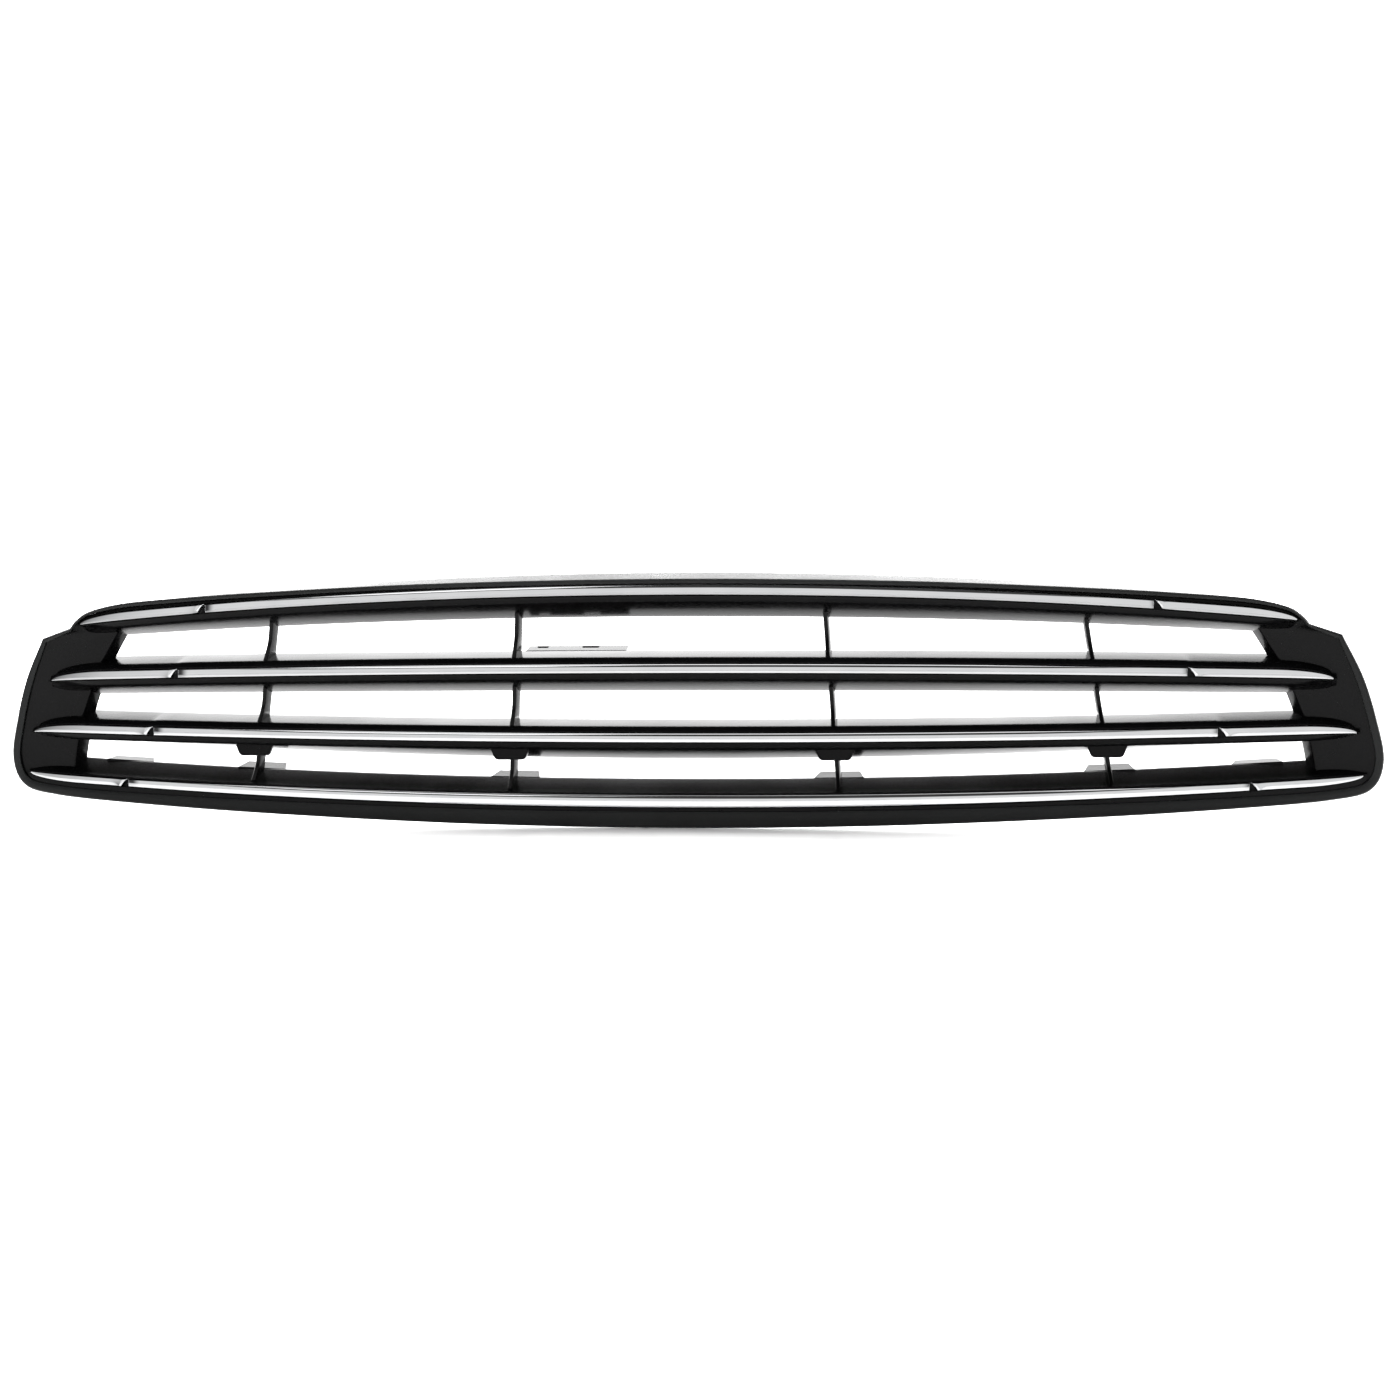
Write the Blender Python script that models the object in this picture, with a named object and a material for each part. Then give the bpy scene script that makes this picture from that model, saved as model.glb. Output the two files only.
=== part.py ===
"""Front grille of a car.

A black moulded insert (four blades, their ribs and two closed end pockets) sits in a textured
outer surround and is held there by screws from behind.  Each blade carries three chrome strips
in a groove along its nose: one across the centre and one at each end.  Studs on the strips' backs
pass through the blades and are held by push nuts.

The design is in millimetres.  x is across the car and z is up, both from a datum on the centre
line.  Depths run rearward (+Y) from the bowed, raked face that the chrome strips follow.  The
finished part is moved so that the middle of its box is the origin.
"""

import math

import bmesh
import bpy
import numpy as np
from mathutils import Matrix, Vector

MM = 0.001
GAP = 0.3

# The curved face
HALF_WIDTH = 550.0
BOW = 42.0
BOW_POWER = 3.0
RAKE = 0.18
DATUM_TO_CENTRE = (0.0, -28.9, -10.6)

# Chrome strips from the top blade to the bottom one.  z: height on the centre line; rise: what it
# gains by the joint; joint and tip: where the centre strip and the end strip stop; height: of the
# strip's face at the centre and at the joint
STRIPS = (
    {"z": 96.0, "rise": -12.4, "joint": 371.0, "tip": 480.0, "height": (8.8, 7.4)},
    {"z": 35.3, "rise": -3.0, "joint": 397.0, "tip": 509.0, "height": (7.6, 7.5)},
    {"z": -18.6, "rise": 4.7, "joint": 421.0, "tip": 528.0, "height": (7.5, 7.3)},
    {"z": -68.3, "rise": 12.3, "joint": 446.0, "tip": 534.0, "height": (9.8, 6.4)},
)
TAPER_LENGTH = 45.0
STRIP_BACK = 2.9
JOINT_GAP = 0.6
JOINT_SLANT = 5.4
TIP_ROUNDING = 0.8

# The three rows of openings between the blades' rear edges: heights of the upper and the lower
# edge on the centre line, and at the row's end
OPENINGS = (
    {"upper": (76.0, 62.0), "lower": (50.3, 47.0)},
    {"upper": (18.1, 16.0), "lower": (-4.0, 3.0)},
    {"upper": (-35.4, -20.5), "lower": (-51.2, -37.0)},
)
OPENING_END = 478.0

# Blades
DEPTH = 32.0
END_DEPTH = 20.0
NOSE = 1.0
GROOVE = 3.2
FRONT_WALL = 2.6
WALL = 2.4
SHOULDER = (5.0, 4.7)
SHELF_SHOULDER = (5.0, 2.3)
UNDER_SHOULDER = (5.5, 5.2)
BLADE_PAST_TIP = 7.0
CORE_SHORT = -8.0
CENTRE_STEPS = 12
END_STEPS = 3
TAPER_STEPS = 4

# Ribs: half width at the front and the rear, where each column crosses z = 0, and its lean
RIB_HALF = (1.5, 2.3)
RIB_COLUMNS = ((126.0, 0.067), (332.3, 0.16))
RIB_REAR = 30.0
RIB_TOP = 16.0
RIB_WAIST = 18.0
RIB_FOOT = 9.0

# Closed pockets at the ends
POCKET_TOP = 79.0
POCKET_BOTTOM = -61.0
POCKET_DEPTH = 28.0
POCKET_RETURN = (5.0, 14.0)
POCKET_WALL = (2.4, 3.0)
POCKET_POWER = 1.8
POCKET_STEPS = 6
POCKET_LEVELS = 11

# The surround: x, z, width of the lip and depth of the flange, clockwise from the top of the
# centre line to its bottom.  The wing's upper corner and the notch beside it stay sharp
TOP_EDGE = (
    (0.0, 104.3, 3.6, 31.0), (180.0, 101.8, 3.6, 31.0), (325.0, 96.0, 3.6, 31.0),
    (400.0, 91.7, 3.6, 29.0), (444.0, 88.1, 3.4, 27.0), (472.0, 82.2, 3.0, 25.0),
    (484.0, 75.4, 3.0, 25.0), (490.0, 69.0, 3.0, 25.0),
)
WING_EDGE = ((490.0, 69.0, 3.0, 25.0), (515.0, 61.0, 4.6, 25.0))
SIDE_EDGE = (
    (515.0, 61.0, 4.6, 25.0), (532.0, 29.0, 6.6, 25.0), (543.0, -3.0, 7.0, 25.0),
    (550.0, -36.0, 7.2, 25.0), (541.0, -58.5, 7.6, 26.0), (512.0, -66.6, 8.0, 28.0),
    (446.0, -72.6, 8.8, 31.0), (325.0, -80.2, 10.6, 33.0), (160.0, -87.2, 12.4, 33.0),
    (0.0, -89.5, 13.1, 33.0),
)
SKIN = 2.5
LIP_EDGE = 1.8
LIP_BACK = 2.8
TOP_FLARE = 6.4
FLARE_END = 480.0

# Fastenings
STUD_RADIUS = 2.0
STUD_END = 9.4
CENTRE_STUDS = (0.2, 0.68)
END_STUDS = (0.2, 0.7)
NUT_RADIUS = 3.9
NUT_THICKNESS = 1.2
ROUND_SIDES = 8
SCREW_XS = {"upper": (150.0, 330.0), "lower": (90.0, 250.0)}
EAR_HALF = 7.0
EAR = (29.4, 31.9)
BOSS_FRONT = 19.0
BOSS_HEIGHT = 8.0
SCREW_RADIUS = 1.8
SCREW_HEAD = (4.4, 2.4)
SCREW_LENGTH = 8.0
HEAD_CLEARANCE = 0.8

# Tongues that rise rearward from a blade's rear edge: half widths at the root and the tip, how far
# back they reach and how much they rise, and their thickness
TAB_HALF = (20.0, 16.0)
RIB_TAB = (16.0, 4.4)
END_TAB = (10.5, 2.6)
END_TAB_X = 455.0
LEDGE_SPAN = (-118.0, -37.0)
LEDGE = (15.0, 4.2)
TONGUE_WALL = 2.0
TONGUE_ROOT = 1.5

# Mounting lugs: x of the holes, and how far the plates reach from them
LUG_XS = {"upper": 240.0, "lower": 190.0, "side": 529.0}
LUG_HALF = 13.0
LUG_THICKNESS = 2.8
LUG_HOLE = 3.25
UPPER_LUG = (-8.0, 11.5)
LOWER_LUG = (-10.0, 8.0)
SIDE_LUG = (-14.0, 14.0)
SIDE_LUG_REACH = (9.0, 12.5)


def face_y(x, z):
    """Depth of the curved face at a place seen from the front."""
    return BOW * (abs(x) / HALF_WIDTH) ** BOW_POWER - RAKE * z


def strip_span(index, x):
    """Lower and upper edge of a strip at x.  The last stretch before the tip tapers to a point."""
    strip = STRIPS[index]
    share = (x / strip["joint"]) ** 2
    middle = strip["z"] + strip["rise"] * share
    full = strip["height"][0] + (strip["height"][1] - strip["height"][0]) * min(share, 1.0)
    along = (abs(x) - (strip["tip"] - TAPER_LENGTH)) / TAPER_LENGTH
    height = full * math.sqrt(max(1.0 - max(along, 0.0) ** 2, 0.0))
    if index == 3:
        upper = middle + full / 2
        return upper - height, upper
    lower = middle - full / 2
    return lower, lower + height


def opening_edge(row, side, x):
    """Height of an opening's upper or lower rear edge at x."""
    middle, end = OPENINGS[row][side]
    return middle + (end - middle) * (x / OPENING_END) ** 2


def opening_end(z):
    """How far out the openings reach at this height."""
    return 482.1 - 0.364 * z - 0.0026 * z * z


def beyond(end, inner):
    """The point that carries a run on past its end: its mirror image on the centre line."""
    return inner * np.array((-1, 1, 1, 1)) if end[0] == 0.0 else 2 * end - inner


def spline(points, steps):
    """Points along a Catmull-Rom curve through the given ones, without the last."""
    points = [np.array(p) for p in points]
    padded = [beyond(points[0], points[1])] + points + [beyond(points[-1], points[-2])]
    curve = []
    for a, b, c, d in zip(padded, padded[1:], padded[2:], padded[3:]):
        for t in np.arange(steps) / steps:
            curve.append(0.5 * (2 * b + (c - a) * t + (2 * a - 5 * b + 4 * c - d) * t * t
                                + (3 * b - a - 3 * c + d) * t ** 3))
    return curve


def outline():
    """The surround's outer edge as (x, z, lip, depth), once round and clockwise from the top."""
    half = spline(TOP_EDGE, 2) + spline(WING_EDGE, 2) + spline(SIDE_EDGE, 3)
    right = half[1:]
    bottom = np.array(SIDE_EDGE[-1])
    left = [p * np.array((-1, 1, 1, 1)) for p in reversed(right)]
    return [half[0]] + right + [bottom] + left


def edge_height(x, upper):
    """Height of the outline's upper or lower run at x."""
    run = spline(TOP_EDGE, 2) + spline(WING_EDGE, 2) if upper else spline(SIDE_EDGE, 3)
    run = [p for p in run if upper or p[1] < SIDE_EDGE[3][1]]
    run.append(np.array(WING_EDGE[-1] if upper else SIDE_EDGE[-1]))
    run.sort(key=lambda p: p[0])
    return float(np.interp(abs(x), [p[0] for p in run], [p[1] for p in run]))


def edge_x(z):
    """How far out the outline lies at this height, on the wing."""
    run = spline(TOP_EDGE, 2)[-4:] + spline(WING_EDGE, 2) + spline(SIDE_EDGE, 3)
    run = sorted((p for p in run if p[0] > 440.0), key=lambda p: p[1])
    return float(np.interp(z, [p[1] for p in run], [p[0] for p in run]))


def mesh_object(name, rings, closed=False):
    """A closed body through rings of points in millimetres: capped, or joined end to end."""
    bm = bmesh.new()
    loops = [[bm.verts.new(Vector(p) * MM) for p in ring] for ring in rings]
    pairs = list(zip(loops, loops[1:]))
    if closed:
        pairs.append((loops[-1], loops[0]))
    for one, two in pairs:
        for i in range(len(one)):
            j = (i + 1) % len(one)
            bm.faces.new((one[i], one[j], two[j], two[i]))
    if not closed:
        bm.faces.new(loops[0])
        bm.faces.new(loops[-1])
    bmesh.ops.recalc_face_normals(bm, faces=bm.faces)
    mesh = bpy.data.meshes.new(name)
    bm.to_mesh(mesh)
    bm.free()
    made = bpy.data.objects.new(name, mesh)
    bpy.context.collection.objects.link(made)
    return made


def prism(name, outline_xz, front, rear):
    """A block with this outline seen from the front, between two depths in millimetres."""
    rings = [[(x, y, z) for x, z in outline_xz] for y in (front, rear)]
    return mesh_object(name, rings)


def bar(name, x, z, radius, front, rear, sides=ROUND_SIDES):
    """A round bar along Y.  Its flats lie at the given radius times cos(pi / sides)."""
    angles = [(k + 0.5) * 2 * math.pi / sides for k in range(sides)]
    corners = [(x + radius * math.cos(a), z + radius * math.sin(a)) for a in angles]
    return prism(name, corners, front, rear)


def around_flats(radius, sides=ROUND_SIDES):
    """The corner radius of a round hole whose flats clear this radius."""
    return radius / math.cos(math.pi / sides)


def combine(target, others, operation, solver="EXACT"):
    """Joins the other bodies to the target or cuts them from it, and removes them."""
    for other in others:
        other.hide_render = True
        change = target.modifiers.new(operation.lower(), "BOOLEAN")
        change.operation = operation
        change.solver = solver
        change.object = other
        bpy.context.view_layer.update()
        shape = bpy.data.meshes.new_from_object(
            target.evaluated_get(bpy.context.evaluated_depsgraph_get()))
        target.modifiers.clear()
        target.data = shape
        bpy.data.objects.remove(other)
    return target


def keep_largest(body):
    """Removes the crumbs that crossing cuts leave beside a body."""
    bm = bmesh.new()
    bm.from_mesh(body.data)
    unseen = set(bm.verts)
    islands = []
    while unseen:
        island = [unseen.pop()]
        for vert in island:
            for edge in vert.link_edges:
                other = edge.other_vert(vert)
                if other in unseen:
                    unseen.remove(other)
                    island.append(other)
        islands.append(island)
    islands.sort(key=len)
    crumbs = [vert for island in islands[:-1] for vert in island]
    bmesh.ops.delete(bm, geom=crumbs, context="VERTS")
    bm.to_mesh(body.data)
    bm.free()


def material(name, colour, roughness, metallic=0.0):
    """A Principled material."""
    made = bpy.data.materials.new(name)
    made.use_nodes = True
    shader = made.node_tree.nodes["Principled BSDF"]
    shader.inputs["Base Color"].default_value = (*colour, 1.0)
    shader.inputs["Roughness"].default_value = roughness
    shader.inputs["Metallic"].default_value = metallic
    return made


def rear_depth(index, x):
    """How deep a blade is at x: less behind the pockets."""
    end = STRIPS[index]["tip"] + BLADE_PAST_TIP
    start = STRIPS[index]["tip"] - TAPER_LENGTH
    return float(np.interp(abs(x), (start, end), (DEPTH, END_DEPTH)))


def upper_side(index, x):
    """Shoulder and rear edge of a blade's upper surface, as (depth, z)."""
    crown = strip_span(index, x)[1]
    depth, rise = SHELF_SHOULDER if index == 3 else SHOULDER
    shoulder = crown + rise
    rear = max(opening_edge(index - 1, "lower", x), shoulder + 0.5)
    return (depth, shoulder), (rear_depth(index, x), rear)


def lower_side(index, x):
    """Shoulder and rear edge of a blade's underside, as (depth, z)."""
    foot = strip_span(index, x)[0]
    depth, drop = UNDER_SHOULDER
    shoulder = foot - drop
    rear = min(opening_edge(index, "upper", x), shoulder - 0.5)
    return (depth, shoulder), (rear_depth(index, x), rear)


def on_line(side, depth):
    """Height of a blade's upper or lower surface at this depth."""
    (d0, z0), (d1, z1) = side
    return z0 + (z1 - z0) * (depth - d0) / (d1 - d0)


def thickened(point, wall):
    """The other side of a wall from this (depth, z)."""
    return (point[0], point[1] + wall)


def blade_section(index, x):
    """A blade's section at x, as (depth, z).  The outer blades are open towards the surround."""
    low, high = strip_span(index, x)
    inside = GROOVE + FRONT_WALL
    nose = [(NOSE, low - 0.6), (NOSE, high + 0.6)]
    if index == 0:
        under = lower_side(index, x)
        top = max(edge_height(x, True) + 2.0, high + 4.0)
        return nose + [(LIP_BACK + GAP, high + 0.6), (LIP_BACK + GAP, top), (inside, top),
                       (inside, on_line(under, inside) + WALL), thickened(under[1], WALL),
                       under[1], under[0]]
    over = upper_side(index, x)
    roof = [over[0], over[1], thickened(over[1], -WALL), (inside, on_line(over, inside) - WALL)]
    if index == 3:
        bottom = min(edge_height(x, False) - 2.0, low - 4.0)
        return nose + roof + [(inside, bottom), (LIP_BACK + GAP, bottom),
                              (LIP_BACK + GAP, low - 0.6)]
    under = lower_side(index, x)
    return nose + roof + [(inside, on_line(under, inside) + WALL), thickened(under[1], WALL),
                          under[1], under[0]]


def core_section(index, x):
    """The empty space inside a blade, a little smaller than its walls leave."""
    inside = GROOVE + FRONT_WALL + 0.4
    past = DEPTH + 6.0
    floor = [(inside, edge_height(x, False) - 9.0), (past, edge_height(x, False) - 9.0)]
    roof = [(past, edge_height(x, True) + 20.0), (inside, edge_height(x, True) + 20.0)]
    if index < 3:
        under = lower_side(index, x)
        floor = [(d, on_line(under, d) + WALL + 0.4) for d in (inside, past)]
    if index > 0:
        over = upper_side(index, x)
        roof = [(d, on_line(over, d) - WALL - 0.4) for d in (past, inside)]
    return floor + roof


def swept(name, index, section, xs):
    """A body swept along a blade, its section standing upright behind the strip's middle."""
    rings = [[(x, blade_base(index, x) + depth, z) for depth, z in section(index, x)] for x in xs]
    return mesh_object(name, rings)


def blade_base(index, x):
    """Depth of the face at a blade's strip, along the straight runs between its sections."""
    xs = blade_xs(index, BLADE_PAST_TIP)
    return float(np.interp(x, xs, [face_y(at, sum(strip_span(index, at)) / 2) for at in xs]))


def evenly(start, end, steps):
    """Evenly spaced numbers from start to end."""
    return [start + (end - start) * k / steps for k in range(steps + 1)]


def end_xs(index):
    """Where the sections of a blade lie between its joint and its tip."""
    strip = STRIPS[index]
    taper = strip["tip"] - TAPER_LENGTH
    return evenly(strip["joint"], taper, END_STEPS)[:-1] + evenly(taper, strip["tip"], TAPER_STEPS)


def blade_xs(index, past_tip):
    """Where the sections of a whole blade lie, out to this far past its tips."""
    strip = STRIPS[index]
    ends = end_xs(index)[1:]
    if past_tip > 0.0:
        ends.append(strip["tip"] + past_tip)
    else:
        ends[-1] += past_tip
    centre = evenly(-strip["joint"], strip["joint"], CENTRE_STEPS)
    return [-x for x in reversed(ends)] + centre + ends


def strip_rings(index, xs, grow=0.0, back=STRIP_BACK, slant=0.0):
    """Sections of a chrome strip, or of the groove for it when grown."""
    rings = []
    for x in xs:
        low, high = strip_span(index, x)
        low, high = low - grow, max(high + grow, low + grow + 0.8)
        if slant and x == xs[-1]:
            low, high = (low + TIP_ROUNDING, high) if index == 3 else (low, high - TIP_ROUNDING)
        base = blade_base(index, x)
        face = -2.0 if grow else 0.0
        bevel = min(1.2, (high - low) / 4)
        section = [(back, low), (face + 0.6, low), (face, low + bevel / 2),
                   (face, high - bevel), (face + 0.9, high), (back, high)]
        lean = slant if x == xs[0] else 0.0
        rings.append([(x + lean * (high - z) / (high - low), base + depth, z)
                      for depth, z in section])
    return rings


def end_strip_xs(index, side):
    """Where the sections of an end strip lie, from its joint to its tip."""
    xs = end_xs(index)
    return [side * x for x in [xs[0] + JOINT_GAP] + xs[1:-1] + [xs[-1] - JOINT_GAP]]


def stud_places():
    """Each strip's name with its blade and the x of its studs."""
    places = []
    for index, strip in enumerate(STRIPS):
        number = index + 1
        centre = [side * share * strip["joint"] for side in (-1, 1) for share in CENTRE_STUDS]
        places.append((f"chrome_strip_center_{number}", index, sorted(centre)))
        for side, word in ((-1, "left"), (1, "right")):
            start, end = side * strip["joint"], side * strip["tip"]
            studs = [start + share * (end - start) for share in END_STUDS]
            places.append((f"chrome_strip_{word}_{number}", index, studs))
    return places


def stud_height(index, x):
    """Height of a stud's axis: the strip's middle."""
    return sum(strip_span(index, x)) / 2


def chrome_strips(finish):
    """The twelve strips, each with its studs."""
    for name, index, studs in stud_places():
        reach = STRIPS[index]["joint"]
        if "center" in name:
            rings = strip_rings(index, evenly(-reach, reach, CENTRE_STEPS))
        else:
            side = -1 if "left" in name else 1
            rings = strip_rings(index, end_strip_xs(index, side), slant=side * JOINT_SLANT)
        body = mesh_object(name, rings)
        pins = [bar("stud", x, stud_height(index, x), STUD_RADIUS,
                    blade_base(index, x) + STRIP_BACK - 0.8, blade_base(index, x) + STUD_END)
                for x in studs]
        combine(body, pins, "UNION")
        body.data.materials.clear()
        body.data.materials.append(finish)


def push_nuts(finish):
    """A push nut behind the blade on every stud."""
    for name, index, studs in stud_places():
        for count, x in enumerate(studs, 1):
            seat = max(blade_base(index, x + edge) for edge in (-NUT_RADIUS, 0.0, NUT_RADIUS))
            front = seat + GROOVE + FRONT_WALL + GAP
            z = stud_height(index, x)
            nut = bar(name.replace("chrome_strip", "push_nut") + f"_{count}",
                      x, z, NUT_RADIUS, front, front + NUT_THICKNESS)
            hole = bar("hole", x, z, around_flats(STUD_RADIUS + GAP), front - 1, front + 3)
            combine(nut, [hole], "DIFFERENCE")
            nut.data.materials.clear()
            nut.data.materials.append(finish)


def rib_front(z):
    """Depth of a rib's front edge: furthest back at each opening's middle, forward at its foot."""
    for row in range(3):
        low = opening_edge(row, "lower", 126.0)
        high = opening_edge(row, "upper", 126.0)
        if low <= z <= high:
            share = (high - z) / (high - low)
            if share < 0.5:
                return RIB_TOP + (RIB_WAIST - RIB_TOP) * share * 2
            return RIB_WAIST + (RIB_FOOT - RIB_WAIST) * (share * 2 - 1) ** 2
    return RIB_TOP


def rib_columns():
    """Leaning plates from the top blade to the shelf, right of the centre."""
    heights = [82.0]
    for row in range(3):
        low = opening_edge(row, "lower", 126.0)
        high = opening_edge(row, "upper", 126.0)
        heights += [high - share * (high - low) for share in (0.0, 0.5, 0.75, 1.0)]
    heights.append(-56.0)
    columns = []
    for middle, lean in RIB_COLUMNS:
        rings = []
        for z in heights:
            x = middle - lean * z
            base = face_y(x, z)
            (front_half, rear_half), front = RIB_HALF, rib_front(z)
            rings.append([(x - front_half, base + front, z), (x + front_half, base + front, z),
                          (x + rear_half, base + RIB_REAR, z),
                          (x - rear_half, base + RIB_REAR, z)])
        columns.append(mesh_object("rib", rings))
    return columns


def mirrored(piece):
    """A copy of a body on the other side of the centre line."""
    copy = bpy.data.objects.new(piece.name, piece.data.copy())
    bpy.context.collection.objects.link(copy)
    copy.data.transform(Matrix.Diagonal((-1.0, 1.0, 1.0, 1.0)))
    copy.data.flip_normals()
    return copy


def pocket():
    """The closed, hollowed wall between the openings' right ends and the surround's lip."""
    rings = []
    for z in evenly(POCKET_TOP, POCKET_BOTTOM, POCKET_LEVELS):
        inner = opening_end(z)
        outer = edge_x(z)
        start, corner = inner + POCKET_RETURN[0], POCKET_DEPTH - POCKET_RETURN[1]
        front = []
        for share in evenly(0.0, 1.0, POCKET_STEPS):
            depth = corner + (LIP_BACK + GAP - corner) * share ** POCKET_POWER
            front.append((start + (outer - start) * share, depth))
        side, wall = POCKET_WALL
        back = [(x, depth + wall) for x, depth in reversed(front[1:])]
        back.append((start + side, corner + wall))
        section = [(inner, POCKET_DEPTH)] + front + back + [(inner + side, POCKET_DEPTH)]
        rings.append([(x, face_y(x, z) + depth, z) for x, depth in section])
    return mesh_object("pocket", rings)


def ring_point(place, outward, n, depth):
    """A point of the surround, n outward from its edge and this deep."""
    x, z = place[0] + outward[0] * n, place[1] + outward[1] * n
    return (x, face_y(x, z) + depth, z)


def surround_rings(section):
    """Sections all round the outline, square to it."""
    edge = outline()
    rings = []
    for before, here, after in zip([edge[-1]] + edge[:-1], edge, edge[1:] + [edge[0]]):
        one, two = here[:2] - before[:2], after[:2] - here[:2]
        along = one / np.linalg.norm(one) + two / np.linalg.norm(two)
        along /= np.linalg.norm(along)
        outward = np.array((-along[1], along[0]))
        flare = TOP_FLARE * max(1.0 - (here[0] / FLARE_END) ** 2, 0.0) if here[1] > 69.5 else 0.0
        rings.append([ring_point(here, outward, n, depth)
                      for n, depth in section(here[2], here[3], flare)])
    return rings


def surround_section(lip, depth, flare):
    """The surround's L section as (outward, depth)."""
    return [(-lip, 0.4), (-LIP_EDGE, -0.3), (0.0, 2.0), (flare, depth), (flare - SKIN, depth),
            (-SKIN, LIP_BACK), (-lip, LIP_BACK - 0.3)]


def clearance_section(lip, depth, flare):
    """What the insert must keep out of: the surround with its gap, and all beyond it."""
    lip += GAP
    skin = SKIN + GAP
    back = LIP_BACK + GAP - 0.01
    far = 70.0
    return [(-lip, -15.0), (9.0, -15.0), (9.0 + flare, far),
            (flare * (far - 2.0) / (depth - 2.0) - skin, far), (-skin, back), (-lip, back)]


def ear_height(where, x):
    """Height of a screw between insert and surround."""
    if where == "upper":
        lift = TOP_FLARE * (1.0 - (x / FLARE_END) ** 2) * 0.7
        return edge_height(x, True) + lift - SKIN - BOSS_HEIGHT / 2
    return edge_height(x, False) + SKIN + SCREW_HEAD[0] + HEAD_CLEARANCE


def screw_places():
    """Name, x, z and base depth of every screw."""
    places = []
    for where, xs in SCREW_XS.items():
        signed = sorted(side * x for side in (-1, 1) for x in xs)
        for count, x in enumerate(signed, 1):
            base = blade_base(0 if where == "upper" else 3, x)
            places.append((f"screw_{where}_{count}", x, ear_height(where, x), base))
    return places


def rectangle(x0, x1, z0, z1):
    """An outline for a block."""
    return [(x0, z0), (x1, z0), (x1, z1), (x0, z1)]


def insert(finish):
    """The blades, ribs and pockets as one moulding."""
    right = [pocket()] + rib_columns()
    for piece in right:
        cores = [swept("core", index, core_section, blade_xs(index, CORE_SHORT))
                 for index in range(4)]
        combine(piece, cores, "DIFFERENCE", "MANIFOLD")
    body, *others = [swept("insert", index, blade_section, blade_xs(index, BLADE_PAST_TIP))
                     for index in range(4)]
    combine(body, right + [mirrored(piece) for piece in right] + others, "UNION", "MANIFOLD")
    combine(body, rib_bosses() + screw_ears() + tongues(), "UNION", "MANIFOLD")
    keep_out = mesh_object("keep_out", surround_rings(clearance_section), closed=True)
    combine(body, [keep_out] + grooves() + stud_holes() + screw_holes(), "DIFFERENCE", "MANIFOLD")
    keep_largest(body)
    body.data.materials.clear()
    body.data.materials.append(finish)


def rib_bosses():
    """A tapered boss over each rib under the third blade."""
    bosses = []
    for side in (-1, 1):
        for middle, lean in RIB_COLUMNS:
            x = side * (middle + lean * 30.0)
            base = blade_base(2, x)
            top = strip_span(2, x)[0] - 4.4
            shape = [(x - 16, top), (x - 12, top - 10), (x + 12, top - 10), (x + 16, top)]
            bosses.append(prism("boss", shape, base + 7.3, base + 12.0))
    return bosses


def tongue(index, x0, x1, narrowing, reach, rise):
    """A plate that rises rearward from a blade's rear edge."""
    rings = []
    for depth, share in ((DEPTH - TONGUE_ROOT, 0.0), (DEPTH + reach, 1.0)):
        for x in (x0 + narrowing * share, x1 - narrowing * share):
            low = opening_edge(index - 1, "lower", x) - TONGUE_WALL - 0.1 + rise * share
            base = blade_base(index, (x0 + x1) / 2) + depth
            rings.append([(x, base, low), (x, base, low + TONGUE_WALL)])
    (a, b), (c, d), (e, f), (g, h) = rings
    return mesh_object("tongue", [[a, b, d, c], [e, f, h, g]])


def tongues():
    """A long tongue behind the second blade, left of the centre, and six behind the shelf."""
    made = [tongue(1, *LEDGE_SPAN, 2.0, *LEDGE)]
    places = [(middle + lean * 50.0, RIB_TAB) for middle, lean in RIB_COLUMNS] + [(END_TAB_X, END_TAB)]
    for side in (-1, 1):
        for x, size in places:
            made.append(tongue(3, side * x - TAB_HALF[0], side * x + TAB_HALF[0],
                               TAB_HALF[0] - TAB_HALF[1], *size))
    return made


def screw_ears():
    """Ears on the insert that the screws pass through."""
    ears = []
    for name, x, z, base in screw_places():
        if "upper" in name:
            span = (opening_edge(0, "upper", x) + 0.9, z + BOSS_HEIGHT / 2 - 0.4)
        else:
            span = (z - BOSS_HEIGHT / 2 + 0.4, opening_edge(2, "lower", x) - 0.9)
        shape = rectangle(x - EAR_HALF, x + EAR_HALF, *span)
        ears.append(prism("ear", shape, base + EAR[0], base + EAR[1]))
    return ears


def grooves():
    """The grooves that the strips lie in."""
    return [mesh_object("groove", strip_rings(index, blade_xs(index, -0.2), GAP, GROOVE))
            for index in range(4)]


def stud_holes():
    """Holes through the blades for the strips' studs."""
    return [bar("hole", x, stud_height(index, x), around_flats(STUD_RADIUS + GAP),
                blade_base(index, x) + 1.5, blade_base(index, x) + 7.5)
            for _, index, studs in stud_places() for x in studs]


def screw_holes():
    """Holes through the insert's ears."""
    return [bar("hole", x, z, around_flats(SCREW_RADIUS + GAP), base + EAR[0] - 3, base + EAR[1] + 3)
            for _, x, z, base in screw_places()]


def surround(finish):
    """The textured outer ring with its screw bosses and mounting lugs."""
    body = mesh_object("surround", surround_rings(surround_section), closed=True)
    combine(body, screw_bosses() + lugs(), "UNION")
    holes = [bar("hole", x, z, around_flats(SCREW_RADIUS + GAP),
                 base + EAR[1] - SCREW_LENGTH - 1.0, base + EAR[1] + 3)
             for _, x, z, base in screw_places()]
    holes += [bar("hole", x, z, LUG_HOLE, rear - 8, rear + 8, 12)
              for _, x, z, rear in lug_places()]
    combine(body, holes, "DIFFERENCE")
    body.data.materials.clear()
    body.data.materials.append(finish)


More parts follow.
